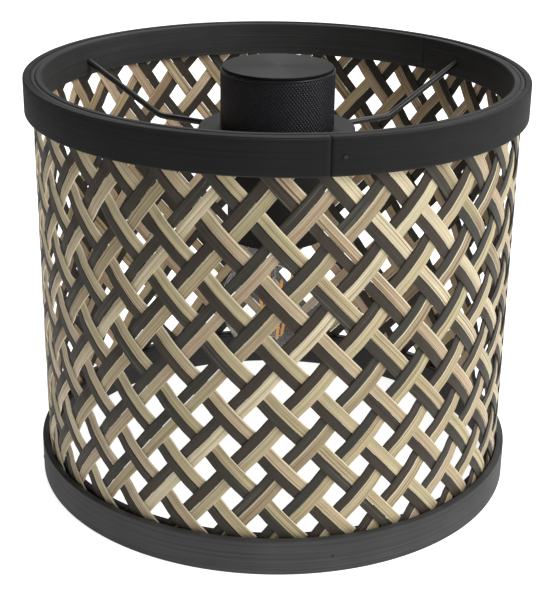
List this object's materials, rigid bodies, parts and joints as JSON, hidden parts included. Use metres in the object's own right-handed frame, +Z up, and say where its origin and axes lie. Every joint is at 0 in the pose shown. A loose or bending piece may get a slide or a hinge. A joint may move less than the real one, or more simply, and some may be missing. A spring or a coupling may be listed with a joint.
{
  "type": "cordless woven bamboo lantern",
  "caption": "Cordless drum lantern of woven bamboo strips between black hoops, with a knurled dimmer dial and a clear globe bulb hung in a wire spider.",
  "frame": {"origin": "centre of the footprint, on the face that the lantern stands on", "axes": "+Z up along the shade's axis; -Y is the front, where the top hoop's lap shows; +X to the right"},
  "size_m": [0.2, 0.2, 0.1717],
  "materials": {
    "bamboo_black": "matt black stained bamboo",
    "bamboo_natural": "plain split bamboo",
    "wire_black": "semi-gloss black enamel on steel",
    "housing_black": "satin black powder coat",
    "dial_black": "black anodised, turned and knurled",
    "rubber_black": "matt",
    "nail_steel": "dull",
    "steel_plain": "zinc plated",
    "brass_plain": "plain",
    "moulding_white": "matt moulding",
    "board_green": "solder resist",
    "battery_wrap": "heat-shrink wrap",
    "bulb_clear": "clear blown glass",
    "cap_metal": "nickel plated",
    "cap_black": "vitrified",
    "filament_amber": "amber phosphor coat"
  },
  "bodies": {
    "shade": {"top_outer_hoop": "bamboo_black", "top_inner_hoop": "bamboo_black", "bottom_outer_hoop": "bamboo_black", "bottom_inner_hoop": "bamboo_black", "woven_mat": "bamboo_natural", "hoop_pins": "nail_steel", "top_filler_strip": "bamboo_black", "bottom_filler_strip": "bamboo_black", "spider_ring": "wire_black", "spider_arm_right": "wire_black", "spider_arm_left": "wire_black", "spider_arm_front": "wire_black"},
    "lamp_unit": {"lamp_housing": "housing_black", "flange_gasket": "rubber_black", "top_deck": "housing_black", "socket_insulator": "moulding_white", "screw_shell": "brass_plain", "centre_contact": "brass_plain", "side_contact": "brass_plain", "socket_screws": "steel_plain", "socket_leads": "rubber_black", "control_board": "board_green", "battery_pack": "battery_wrap", "charge_port": "steel_plain", "encoder_body": "steel_plain", "encoder_nut": "steel_plain"},
    "dial": {"encoder_shaft": "steel_plain", "dial_sleeve": "dial_black", "dial_cap": "dial_black"},
    "charge_plug": {"port_plug": "rubber_black"},
    "bulb": {"bulb_glass": "bulb_clear", "bulb_cap": "cap_metal", "cap_insulator": "cap_black", "contact_tip": "brass_plain", "bulb_stem": "bulb_clear", "led_filaments": "filament_amber", "support_wires": "steel_plain"}
  },
  "joints": [
    {"name": "lamp_lift", "type": "slide", "parent": "shade", "child": "lamp_unit", "axis": [0, 0, 1], "range_m": [0, 0.125]},
    {"name": "dial_turn", "type": "hinge", "parent": "lamp_unit", "child": "dial", "pos_m": [0, 0, 0.16], "axis": [0, 0, -1], "range_deg": [0, 280]},
    {"name": "plug_pull", "type": "slide", "parent": "lamp_unit", "child": "charge_plug", "axis": [0, 1, 0], "range_m": [0, 0.012]},
    {"name": "bulb_unscrew", "type": "hinge", "parent": "lamp_unit", "child": "bulb", "pos_m": [0, 0, 0.11], "axis": [0, 0, -1], "range_deg": [0, 1080]}
  ]
}
